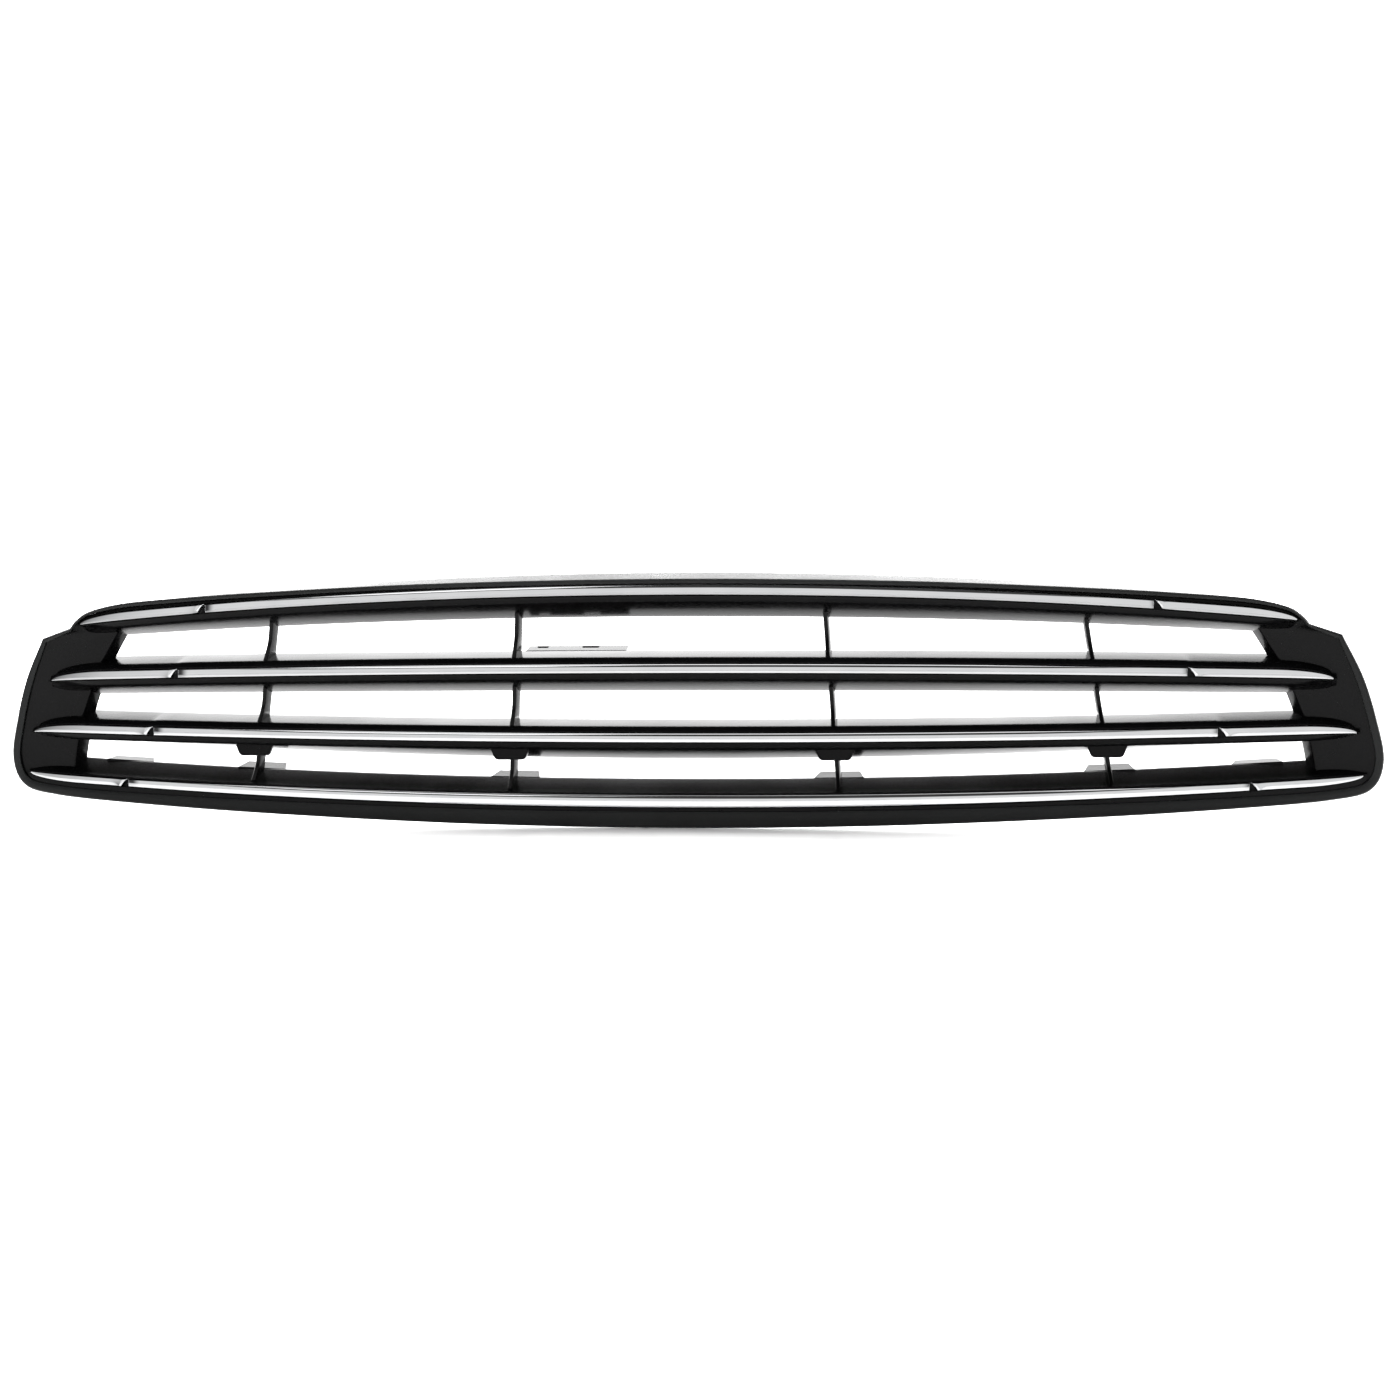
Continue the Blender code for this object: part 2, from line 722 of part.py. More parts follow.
def screw_bosses():
    """Blocks on the surround's flange that take the screws."""
    blocks = []
    for name, x, z, base in screw_places():
        half = BOSS_HEIGHT / 2
        span = (z - half, z + half + 1.2) if "upper" in name else (z - half - 2.4, z + half)
        shape = rectangle(x - EAR_HALF, x + EAR_HALF, *span)
        blocks.append(prism("block", shape, base + BOSS_FRONT, base + EAR[0] - GAP))
    return blocks


def lug_places():
    """Name, x, z and rear face of each mounting lug's hole."""
    places = []
    for side, word in ((-1, "left"), (1, "right")):
        x = side * LUG_XS["upper"]
        places.append((f"upper_{word}", x, edge_height(x, True) - 8.0, blade_base(0, x) + EAR[1]))
        x = side * LUG_XS["lower"]
        places.append((f"lower_{word}", x, edge_height(x, False) + 11.0, blade_base(3, x) + EAR[1]))
        x = side * LUG_XS["side"]
        places.append((f"side_{word}", x, 0.0, face_y(543.0, 0.0) + 24.6))
    return places


def lugs():
    """Flat lugs on the flange's rear edge, for bolting the grille to the car."""
    blocks = []
    for name, x, z, rear in lug_places():
        span, reach = (x - LUG_HALF, x + LUG_HALF), UPPER_LUG
        if "lower" in name:
            reach = LOWER_LUG
        elif "side" in name:
            inward, outward = SIDE_LUG_REACH
            out = math.copysign(1.0, x)
            span, reach = sorted((x - out * inward, x + out * outward)), SIDE_LUG
        shape = rectangle(*span, z + reach[0], z + reach[1])
        blocks.append(prism("lug", shape, rear - LUG_THICKNESS, rear))
    return blocks


def screws(finish):
    """Pan-head screws from behind, through the insert's ears into the surround."""
    for name, x, z, base in screw_places():
        head_front = base + EAR[1] + GAP
        screw = bar(name, x, z, SCREW_HEAD[0], head_front, head_front + SCREW_HEAD[1], 12)
        shank = bar("shank", x, z, SCREW_RADIUS, head_front - SCREW_LENGTH, head_front + 1.0)
        combine(screw, [shank], "UNION")
        screw.data.materials.clear()
        screw.data.materials.append(finish)


def centre_everything():
    """Moves the part so that the middle of its box is the origin."""
    move = Matrix.Translation(Vector(DATUM_TO_CENTRE) * MM)
    for part in bpy.context.scene.objects:
        part.data.transform(move)
        part.data.set_sharp_from_angle(angle=math.radians(30))


def main():
    for old in list(bpy.data.objects):
        bpy.data.objects.remove(old)
    gloss_black = material("gloss_black_abs", (0.012, 0.012, 0.013), 0.22)
    textured_black = material("textured_black_abs", (0.03, 0.031, 0.033), 0.55)
    chrome = material("chrome", (0.80, 0.81, 0.82), 0.06, 1.0)
    steel = material("spring_steel", (0.32, 0.33, 0.34), 0.35, 1.0)
    zinc = material("zinc_plated_steel", (0.62, 0.62, 0.60), 0.3, 1.0)
    surround(textured_black)
    insert(gloss_black)
    chrome_strips(chrome)
    push_nuts(steel)
    screws(zinc)
    centre_everything()


main()
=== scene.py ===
"""Looks of the front grille: smooth pieces in place of the faceted solids, their materials, a pale
floor, soft light and the camera.

Shapes are worked out in the same design millimetres as the solids: x across, z up, and depths
running rearward from the bowed, raked face.  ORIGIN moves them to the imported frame.
"""

import math

import bmesh
import bpy
import numpy as np
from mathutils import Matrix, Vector


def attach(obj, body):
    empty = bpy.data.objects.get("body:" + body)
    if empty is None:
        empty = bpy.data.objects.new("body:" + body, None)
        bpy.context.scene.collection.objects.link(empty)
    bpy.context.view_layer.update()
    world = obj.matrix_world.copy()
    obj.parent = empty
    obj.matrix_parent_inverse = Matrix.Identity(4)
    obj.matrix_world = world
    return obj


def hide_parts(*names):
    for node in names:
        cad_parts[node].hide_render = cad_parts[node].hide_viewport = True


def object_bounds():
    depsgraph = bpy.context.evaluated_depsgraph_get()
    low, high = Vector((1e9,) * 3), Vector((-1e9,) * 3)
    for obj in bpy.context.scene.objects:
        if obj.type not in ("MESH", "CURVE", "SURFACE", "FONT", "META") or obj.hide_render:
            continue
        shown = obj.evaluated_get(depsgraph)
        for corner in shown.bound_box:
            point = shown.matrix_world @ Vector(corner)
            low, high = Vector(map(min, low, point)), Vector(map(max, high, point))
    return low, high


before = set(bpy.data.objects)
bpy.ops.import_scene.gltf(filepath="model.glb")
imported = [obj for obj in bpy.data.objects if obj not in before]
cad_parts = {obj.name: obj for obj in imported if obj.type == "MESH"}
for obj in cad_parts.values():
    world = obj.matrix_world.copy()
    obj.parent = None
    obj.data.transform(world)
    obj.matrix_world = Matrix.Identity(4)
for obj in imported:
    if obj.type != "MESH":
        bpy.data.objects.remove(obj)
cad_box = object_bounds()

MM = 0.001
ORIGIN = np.array((0.0, -28.9, -10.6))

# The curved face
HALF_WIDTH = 550.0
BOW = 42.0
BOW_POWER = 3.0
RAKE = 0.18

# Chrome strips from the top blade down.  z: height on the centre line; rise: what it gains by the
# joint; joint and tip: where the centre strip and the end strip stop; height: of the strip's face at
# the centre and at the joint
STRIPS = (
    {"z": 96.0, "rise": -12.4, "joint": 371.0, "tip": 480.0, "height": (8.8, 7.4)},
    {"z": 35.3, "rise": -3.0, "joint": 397.0, "tip": 509.0, "height": (7.6, 7.5)},
    {"z": -18.6, "rise": 4.7, "joint": 421.0, "tip": 528.0, "height": (7.5, 7.3)},
    {"z": -68.3, "rise": 12.3, "joint": 446.0, "tip": 534.0, "height": (9.8, 6.4)},
)
TAPER_LENGTH = 45.0
STRIP_BACK = 2.9
JOINT_GAP = 0.6
JOINT_SLANT = 5.4
GAP = 0.3

# Rows of openings between the blades' rear edges: on the centre line and at the row's end
OPENINGS = (
    {"upper": (76.0, 62.0), "lower": (50.3, 47.0)},
    {"upper": (18.1, 16.0), "lower": (-4.0, 3.0)},
    {"upper": (-35.4, -20.5), "lower": (-51.2, -37.0)},
)
OPENING_END = 478.0

# Blades
DEPTH = 32.0
END_DEPTH = 20.0
NOSE = 1.0
GROOVE = 3.2
INSIDE = 5.8
WALL = 2.4
SHOULDER = (5.0, 4.7)
SHELF_SHOULDER = (5.0, 2.3)
UNDER_SHOULDER = (5.5, 5.2)
BLADE_PAST_TIP = 3.0
JOINT_STEP = 0.5
UPPER_SWELL = 0.12
UNDER_SWELL = 0.42

# Ribs: where each column crosses z = 0 and its lean, and half widths at the front and the rear
RIB_COLUMNS = ((126.0, 0.067), (332.3, 0.16))
RIB_HALF = (1.75, 2.5)
RIB_REAR = 30.0

# Closed pockets at the ends
POCKET_TOP = 79.0
POCKET_BOTTOM = -61.0
POCKET_DEPTH = 28.0
POCKET_RETURN = (5.0, 14.0)
POCKET_WALL = (2.4, 3.0)
POCKET_POWER = 1.8

# The surround: x, z, width of the lip and depth of the flange, clockwise from the top of the
# centre line to its bottom
TOP_EDGE = (
    (0.0, 104.3, 3.6, 31.0), (180.0, 101.8, 3.6, 31.0), (325.0, 96.0, 3.6, 31.0),
    (400.0, 91.7, 3.6, 29.0), (444.0, 88.1, 3.4, 27.0), (472.0, 82.2, 3.0, 25.0),
    (484.0, 75.4, 3.0, 25.0), (490.0, 69.0, 3.0, 25.0),
)
WING_EDGE = ((490.0, 69.0, 3.0, 25.0), (515.0, 61.0, 4.6, 25.0))
SIDE_EDGE = (
    (515.0, 61.0, 4.6, 25.0), (532.0, 29.0, 6.6, 25.0), (543.0, -3.0, 7.0, 25.0),
    (550.0, -36.0, 7.2, 25.0), (541.0, -58.5, 7.6, 26.0), (512.0, -66.6, 8.0, 28.0),
    (446.0, -72.6, 8.8, 31.0), (325.0, -80.2, 10.6, 33.0), (160.0, -87.2, 12.4, 33.0),
    (0.0, -89.5, 13.1, 33.0),
)
SKIN = 2.5
LIP_BACK = 2.8
TOP_FLARE = 6.4
FLARE_END = 480.0

# Fastenings
STUD_RADIUS = 2.0
STUD_END = 9.4
CENTRE_STUDS = (0.2, 0.68)
END_STUDS = (0.2, 0.7)
NUT_RADIUS = 3.9
SCREW_XS = {"upper": (150.0, 330.0), "lower": (90.0, 250.0)}
EAR_HALF = 7.0
EAR = (29.4, 31.9)
BOSS_FRONT = 19.0
BOSS_HEIGHT = 8.0
SCREW_HEAD = (4.4, 2.4)
SCREW_LENGTH = 8.0
HEAD_CLEARANCE = 0.8

# Tongues behind the blades: half widths at the root and the tip, and reach and rise of each kind
TAB_HALF = (20.0, 16.0)
RIB_TAB = (16.0, 4.4)
END_TAB = (10.5, 2.6)
END_TAB_X = 455.0
LEDGE = (15.0, 4.2)
LEDGE_X = -77.5
LEDGE_PARTS = ((-118.0, -109.5), (-102.0, -73.5), (-61.5, -37.0))
LEDGE_SLOTS = ((-112.0, -99.0), (-76.0, -59.0))
TONGUE_WALL = 2.0
TONGUE_ROOT = 1.5

# Mounting lugs: x of the holes, and how far the plates reach from them
LUG_XS = {"upper": 240.0, "lower": 190.0, "side": 529.0}
LUG_HALF = 13.0
LUG_THICKNESS = 2.8
LUG_HOLE = 3.25
UPPER_LUG = (-8.0, 11.5)
LOWER_LUG = (-10.0, 8.0)
SIDE_LUG = (-14.0, 14.0)
SIDE_LUG_REACH = (9.0, 12.5)

# Studio: how bright the room is overhead, at its zenith, in front at eye level and behind.  Lamps as
# name, place in metres, size and power.  The camera's place is in metres, its turn in degrees
CEILING_LIGHT = 0.05
ZENITH_LIGHT = 1.2
BAND_LIGHT = 0.74
BACK_LIGHT = 4.0
LAMPS = (("overhead", (0.0, 0.05, 2.4), 3.0, 130.0), ("key", (-0.9, -1.7, 1.5), 1.0, 4.0))
FLOOR_SIZE = 40.0
FLOOR_DROP = 0.0008
CAMERA_PLACE = (0.2391, -1.9317, 0.0047)
CAMERA_LENS = 63.49
CAMERA_TURN = (89.87, 0.03, 6.45)


# Shape of the part

def face_y(x, z):
    """Depth of the curved face at a place seen from the front."""
    return BOW * (abs(x) / HALF_WIDTH) ** BOW_POWER - RAKE * z


def strip_span(index, x):
    """Lower and upper edge of a strip at x.  The last stretch before the tip tapers to a point."""
    strip = STRIPS[index]
    share = (x / strip["joint"]) ** 2
    middle = strip["z"] + strip["rise"] * share
    full = strip["height"][0] + (strip["height"][1] - strip["height"][0]) * min(share, 1.0)
    along = (abs(x) - (strip["tip"] - TAPER_LENGTH)) / TAPER_LENGTH
    height = full * math.sqrt(max(1.0 - max(along, 0.0) ** 2, 0.0))
    if index == 3:
        upper = middle + full / 2
        return upper - height, upper
    lower = middle - full / 2
    return lower, lower + height


def strip_middle(index, x):
    """Height of a strip's middle, where its studs sit."""
    return sum(strip_span(index, x)) / 2


def base_y(index, x):
    """Depth of the face behind a blade's strip."""
    return face_y(x, strip_middle(index, x))


def opening_edge(row, side, x):
    """Height of an opening's upper or lower rear edge at x."""
    middle, end = OPENINGS[row][side]
    return middle + (end - middle) * (x / OPENING_END) ** 2


def opening_end(z):
    """How far out the openings reach at this height."""
    return 482.1 - 0.364 * z - 0.0026 * z * z


def spline(points, steps):
    """Points along a Catmull-Rom curve through the given ones, without the last."""
    points = [np.array(p) for p in points]
    mirror = np.array((-1, 1, 1, 1))

    def beyond(end, inner):
        return inner * mirror if end[0] == 0.0 else 2 * end - inner

    padded = [beyond(points[0], points[1])] + points + [beyond(points[-1], points[-2])]
    curve = []
    for a, b, c, d in zip(padded, padded[1:], padded[2:], padded[3:]):
        for t in np.arange(steps) / steps:
            curve.append(0.5 * (2 * b + (c - a) * t + (2 * a - 5 * b + 4 * c - d) * t * t
                                + (3 * b - a - 3 * c + d) * t ** 3))
    return curve


TOP_RUN = spline(TOP_EDGE, 10) + spline(WING_EDGE, 6)
SIDE_RUN = spline(SIDE_EDGE, 10) + [np.array(SIDE_EDGE[-1])]


def outline():
    """The surround's outer edge as (x, z, lip, depth), once round and clockwise from the top."""
    half = TOP_RUN + SIDE_RUN[:-1]
    left = [p * np.array((-1, 1, 1, 1)) for p in reversed(half[1:])]
    return half + [SIDE_RUN[-1]] + left


def edge_height(x, upper):
    """Height of the outline's upper or lower run at x."""
    run = TOP_RUN + [np.array(WING_EDGE[-1])] if upper else [p for p in SIDE_RUN if p[1] < -36.0]
    run = sorted(run, key=lambda p: p[0])
    return float(np.interp(abs(x), [p[0] for p in run], [p[1] for p in run]))


def edge_x(z):
    """How far out the outline lies at this height, on the wing."""
    run = sorted((p for p in TOP_RUN + SIDE_RUN if p[0] > 440.0), key=lambda p: p[1])
    return float(np.interp(z, [p[1] for p in run], [p[0] for p in run]))


def rear_depth(index, x):
    """How deep a blade is at x: less behind the pockets."""
    end = STRIPS[index]["tip"] + BLADE_PAST_TIP
    return float(np.interp(abs(x), (end - BLADE_PAST_TIP - TAPER_LENGTH, end), (DEPTH, END_DEPTH)))


def past_joint(index, x):
    """0 on the centre strip's side of a joint, 1 on the end strip's, with a short ramp between."""
    return float(np.interp(abs(x) - STRIPS[index]["joint"], (-1.0, 2.5), (0.0, 1.0)))


def fullness(index, x):
    """How much of its thickness beyond the strip a blade's nose keeps at x: less towards the tip."""
    low, high = strip_span(index, x)
    return min(max((high - low) / STRIPS[index]["height"][1], 0.12), 1.0)


def upper_side(index, x):
    """Shoulder and rear edge of a blade's upper surface, as (depth, z)."""
    depth, rise = SHELF_SHOULDER if index == 3 else SHOULDER
    if index < 3:
        rise -= JOINT_STEP * past_joint(index, x)
    shoulder = strip_span(index, x)[1] + rise * fullness(index, x)
    rear = max(opening_edge(index - 1, "lower", x), shoulder + 0.5)
    return (depth, shoulder), (rear_depth(index, x), rear)


def lower_side(index, x):
    """Shoulder and rear edge of a blade's underside, as (depth, z)."""
    depth, drop = UNDER_SHOULDER
    shoulder = strip_span(index, x)[0] - drop * fullness(index, x)
    rear = min(opening_edge(index, "upper", x), shoulder - 0.5)
    return (depth, shoulder), (rear_depth(index, x), rear)


def on_curve(side, depth, swell):
    """Height of a blade's surface at this depth.  It is steeper in front and flatter at the rear."""
    (d0, z0), (d1, z1) = side
    t = (depth - d0) / (d1 - d0)
    return z0 + (z1 - z0) * ((1 + swell) * t - swell * t * t)


def surface(side, swell, steps, offset=0.0, backward=False):
    """Points along a blade's upper or lower surface between its ends, as (depth, z, rounding)."""
    (d0, _), (d1, _) = side
    depths = np.linspace(d0, d1, steps + 2)[1:-1]
    points = [(d, on_curve(side, d, swell) + offset, 0.0) for d in depths if d > INSIDE]
    return points[::-1] if backward else points


def rounded(corners, steps=3):
    """A closed outline with rounded corners, from (a, b, length of the rounding)."""
    points = [np.array(c[:2], float) for c in corners]
    out = []
    for k, corner in enumerate(corners):
        here = points[k]
        if corner[2] == 0.0:
            out.append(here)
            continue
        one, two = points[k - 1] - here, points[(k + 1) % len(points)] - here
        long_one, long_two = max(np.linalg.norm(one), 1e-6), max(np.linalg.norm(two), 1e-6)
        reach = min(corner[2], 0.45 * long_one, 0.45 * long_two)
        start, end = here + one / long_one * reach, here + two / long_two * reach
        for t in np.linspace(0.0, 1.0, steps + 1):
            out.append((1 - t) ** 2 * start + 2 * t * (1 - t) * here + t * t * end)
    return out


# Meshes

def solid(name, rings, loop=False, sharp=35.0):
    """A closed, smooth-shaded mesh through rings of points in design millimetres."""
    count = len(rings[0])
    verts = [tuple((np.array(p) + ORIGIN) * MM) for ring in rings for p in ring]
    spans = [(k, k + 1) for k in range(len(rings) - 1)]
    if loop:
        spans.append((len(rings) - 1, 0))
    faces = [(a * count + i, a * count + (i + 1) % count, b * count + (i + 1) % count, b * count + i)
             for a, b in spans for i in range(count)]
    if not loop:
        faces.append(tuple(range(count)))
        faces.append(tuple(range((len(rings) - 1) * count, len(rings) * count)))
    mesh = bpy.data.meshes.new(name)
    mesh.from_pydata(verts, [], faces)
    bm = bmesh.new()
    bm.from_mesh(mesh)
    bmesh.ops.remove_doubles(bm, verts=bm.verts, dist=0.00001)
    bmesh.ops.recalc_face_normals(bm, faces=bm.faces)
    bm.to_mesh(mesh)
    bm.free()
    mesh.set_sharp_from_angle(angle=math.radians(sharp))
    made = bpy.data.objects.new(name, mesh)
    bpy.context.collection.objects.link(made)
    return made


def joined(name, parts):
    """Several meshes as one object."""
    bm = bmesh.new()
    for part in parts:
        bm.from_mesh(part.data)
        bpy.data.objects.remove(part)
    mesh = bpy.data.meshes.new(name)
    bm.to_mesh(mesh)
    bm.free()
    made = bpy.data.objects.new(name, mesh)
    bpy.context.collection.objects.link(made)
    return made


def dress(obj, slot, *nodes):
    """Gives a piece its body and its material, and hides the solids it stands for."""
    obj.data.materials.clear()
    obj.data.materials.append(MATERIALS[slot])
    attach(obj, "root")
    if nodes:
        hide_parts(*nodes)
    return obj


def plate(name, outline_xz, front, rear, bevel=0.6):
    """A flat block with softened edges, from its outline seen from the front."""
    inner = shrunk(outline_xz, bevel)
    rings = [[(x, front, z) for x, z in inner],
             [(x, front + bevel, z) for x, z in outline_xz],
             [(x, rear - bevel, z) for x, z in outline_xz],
             [(x, rear, z) for x, z in inner]]
    return solid(name, rings)


def shrunk(outline_xz, amount):
    """A convex outline moved inward."""
    points = [np.array(p, float) for p in outline_xz]
    middle = sum(points) / len(points)
    out = []
    for k, here in enumerate(points):
        one, two = points[k - 1] - here, points[(k + 1) % len(points)] - here
        one, two = one / max(np.linalg.norm(one), 1e-6), two / max(np.linalg.norm(two), 1e-6)
        way = one + two
        size = np.linalg.norm(way)
        way = way / size if size > 1e-3 else (middle - here) / np.linalg.norm(middle - here)
        if np.dot(way, middle - here) < 0:
            way = -way
        out.append(here + way * amount)
    return [tuple(p) for p in out]


def soft_outline(points, radius, steps=4):
    """A flat outline with its corners rounded."""
    return [tuple(p) for p in rounded([(*p, radius) for p in points], steps)]


def lathe(name, profile, x, z, sides=28, wave=None):
    """A round piece about an axis along Y, from (radius, y) points going once round its section."""
    rings = []
    for k in range(sides):
        angle = k * 2 * math.pi / sides
        ring = []
        for radius, y in profile:
            r = radius + (wave(k, radius) if wave else 0.0)
            ring.append((x + r * math.cos(angle), y, z + r * math.sin(angle)))
        rings.append(ring)
    return solid(name, rings, loop=True)


# Blades, ribs and pockets

def blade_stations(index):
    """Where a blade's sections lie: closer together at its joints and tips."""
    strip = STRIPS[index]
    end = strip["tip"] + BLADE_PAST_TIP
    half = list(np.arange(0.0, strip["joint"] - 2.0, 10.0))
    half += [strip["joint"] - 1.0, strip["joint"] + 1.0, strip["joint"] + 3.0]
    half += list(np.linspace(strip["joint"] + 6.0, strip["tip"] - TAPER_LENGTH, 7))[:-1]
    half += list(np.linspace(strip["tip"] - TAPER_LENGTH, strip["tip"], 13))
    half += [strip["tip"] + 0.8, (strip["tip"] + end) / 2, end]
    return [-x for x in reversed(half[1:])] + half


def groove_back(index, x):
    """Depth of the groove's floor.  It closes just past the strip's tip."""
    return float(np.interp(abs(x) - STRIPS[index]["tip"], (0.0, 0.8), (GROOVE, NOSE + 0.05)))


def blade_ring(index, x):
    """A blade's section at x, once round, as rounded (depth, z)."""
    low, high = strip_span(index, x)
    floor = groove_back(index, x)
    nose = [(NOSE, low - 0.8, 0.5), (NOSE, low - GAP, 0.2), (floor, low - GAP, 0.3),
            (floor, high + GAP, 0.3), (NOSE, high + GAP, 0.2)]
    upper, lower = upper_side(index, x) if index else None, None
    if index < 3:
        lower = lower_side(index, x)
    roof = []
    if index:
        over, rear = upper
        roof = [(NOSE, high + 0.8, 0.5), (*over, 2.2), *surface(upper, UPPER_SWELL, 6),
                (*rear, 0.9), (rear[0], rear[1] - WALL, 0.9),
                *surface(upper, UPPER_SWELL, 6, -WALL, True),
                (INSIDE, on_curve(upper, INSIDE, UPPER_SWELL) - WALL, 0.4)]
    under = []
    if index < 3:
        over, rear = lower
        under = [(INSIDE, on_curve(lower, INSIDE, UNDER_SWELL) + WALL, 0.4),
                 *surface(lower, UNDER_SWELL, 6, WALL), (rear[0], rear[1] + WALL, 0.9),
                 (*rear, 0.9), *surface(lower, UNDER_SWELL, 6, 0.0, True), (*over, 4.5)]
    lip = LIP_BACK + GAP
    if index == 0:
        top = max(edge_height(x, True) - SKIN - 0.4, high + 1.4)
        roof = [(NOSE, high + 0.7, 0.3), (lip, high + 0.7, 0.3), (lip, top, 0.3), (INSIDE, top, 0.3)]
    if index == 3:
        bottom = min(edge_height(x, False) + SKIN + 0.4, low - 1.4)
        under = [(INSIDE, bottom, 0.3), (lip, bottom, 0.3), (lip, low - 0.8, 0.3)]
    base = base_y(index, x)
    return [(x, base + d, z) for d, z in rounded(nose + roof + under)]


def blades():
    """The four blades, each with its groove."""
    return [solid("blade", [blade_ring(index, x) for x in blade_stations(index)])
            for index in range(4)]


def rib_front(share):
    """Depth of a rib's front edge from its foot (0) to its top (1): hollowed between the two."""
    return 9.0 + 8.6 * math.sin(min(share * 1.9, 1.0) * math.pi / 2) - 2.4 * max(share - 0.45, 0.0) ** 1.5


def rib(middle, lean, row):
    """One rib between two blades, its ends just inside their walls."""
    above, below = row, row + 1
    x_mid = middle - lean * (opening_edge(row, "upper", middle) + opening_edge(row, "lower", middle)) / 2
    top_side, foot_side = lower_side(above, x_mid), upper_side(below, x_mid)

    def ends(depth):
        return (on_curve(foot_side, depth, UPPER_SWELL) - 1.2,
                on_curve(top_side, depth, UNDER_SWELL) + 1.2)

    rings = []
    for share in np.linspace(0.0, 1.0, 19):
        front = rib_front(share)
        nose, ring = RIB_HALF[0], []
        around = [(-RIB_HALF[1], RIB_REAR), (-nose, front + 0.6), (-nose + 0.4, front),
                  (nose - 0.4, front), (nose, front + 0.6), (RIB_HALF[1], RIB_REAR)]
        for side, depth in around:
            low, high = ends(depth)
            z = low + (high - low) * share
            x = middle - lean * z
            ring.append((x + side, face_y(x, z) + depth, z))
        rings.append(ring)
    return solid("rib", rings)


def flipped(part):
    """A copy of a mesh on the other side of the centre line."""
    copy = bpy.data.objects.new(part.name, part.data.copy())
    bpy.context.collection.objects.link(copy)
    for vert in copy.data.vertices:
        vert.co.x = -vert.co.x
    copy.data.flip_normals()
    return copy


def pocket():
    """The concave, closed panel between the openings' right ends and the surround's lip."""
    rings = []
    for z in np.linspace(POCKET_TOP, POCKET_BOTTOM, 57):
        inner, outer = opening_end(z), edge_x(z) - SKIN - 0.6
        start, deep = inner + POCKET_RETURN[0], POCKET_DEPTH - POCKET_RETURN[1]
        front = [(start, deep, 1.6)]
        for share in np.linspace(0.0, 1.0, 15)[1:]:
            depth = deep + (LIP_BACK + GAP - deep) * share ** POCKET_POWER
            front.append((start + (outer - start) * share, depth, 0.0))
        side, wall = POCKET_WALL
        back = [(x, depth + wall, r) for x, depth, r in reversed(front[1:])]
        section = [(inner, POCKET_DEPTH, 0.6)] + front + back
        section += [(start + side, deep + wall, 1.6), (inner + side, POCKET_DEPTH, 0.6)]
        rings.append([(x, face_y(x, z) + depth, z) for x, depth in rounded(section)])
    return solid("pocket", rings)


def rib_boss(x):
    """The tapered boss over a rib, under the third blade."""
    top = strip_span(2, x)[0] - 4.2
    shape = soft_outline([(x - 16, top), (x - 12, top - 10), (x + 12, top - 10), (x + 16, top)], 3.0)
    return plate("boss", shape, base_y(2, x) + 7.3, base_y(2, x) + 12.0, 0.9)


def tongue(index, middle, x0, x1, narrowing, reach, rise, shares=(0.0, 1.0)):
    """A plate that rises rearward from a blade's rear edge, or a stretch of one."""
    corners = []
    for share in shares:
        depth = DEPTH - TONGUE_ROOT + (reach + TONGUE_ROOT) * share
        for x in (x0 + narrowing * share, x1 - narrowing * share):
            low = opening_edge(index - 1, "lower", x) - 0.1 + rise * share
            corners.append((x, base_y(index, middle) + depth, low))
    a, b, c, d = [np.array(p) for p in corners]
    rings = []
    for drop, inset in ((0.0, 0.4), (0.4, 0.0), (TONGUE_WALL - 0.4, 0.0), (TONGUE_WALL, 0.4)):
        ring = []
        for u, v in ((0, 0), (1, 0), (1, 1), (0, 1)):
            across = inset / max(np.linalg.norm(b - a), 1.0)
            along = inset / max(np.linalg.norm(c - a), 1.0)
            s, t = u + across * (1 - 2 * u), v + along * (1 - 2 * v)
            point = (a * (1 - s) + b * s) * (1 - t) + (c * (1 - s) + d * s) * t
            ring.append(point - np.array((0.0, 0.0, drop)))
        rings.append(ring)
    return solid("tongue", rings)


def tongues():
    """The six tongues behind the shelf and the slotted one behind the second blade."""
    made = []
    for x0, x1 in LEDGE_PARTS:
        made.append(tongue(1, LEDGE_X, x0, x1, 0.6, *LEDGE))
    for x0, x1 in LEDGE_SLOTS:
        for shares in ((0.0, 0.55), (0.88, 0.99)):
            made.append(tongue(1, LEDGE_X, x0, x1, 0.0, *LEDGE, shares))
    places = [(middle + lean * 50.0, RIB_TAB) for middle, lean in RIB_COLUMNS] + [(END_TAB_X, END_TAB)]
    for side in (-1, 1):
        for x, size in places:
            made.append(tongue(3, side * x, side * x - TAB_HALF[0], side * x + TAB_HALF[0],
                               TAB_HALF[0] - TAB_HALF[1], *size))
    return made


def screw_places():
    """Name, x, z and base depth of every screw."""
    places = []
    for where, xs in SCREW_XS.items():
        signed = sorted(side * x for side in (-1, 1) for x in xs)
        for count, x in enumerate(signed, 1):
            if where == "upper":
                lift = TOP_FLARE * (1.0 - (x / FLARE_END) ** 2) * 0.7
                z = edge_height(x, True) + lift - SKIN - BOSS_HEIGHT / 2
            else:
                z = edge_height(x, False) + SKIN + SCREW_HEAD[0] + HEAD_CLEARANCE
            places.append((f"screw_{where}_{count}", x, z, base_y(0 if where == "upper" else 3, x)))
    return places


def rectangle(x0, x1, z0, z1):
    """An outline for a block."""
    return [(x0, z0), (x1, z0), (x1, z1), (x0, z1)]


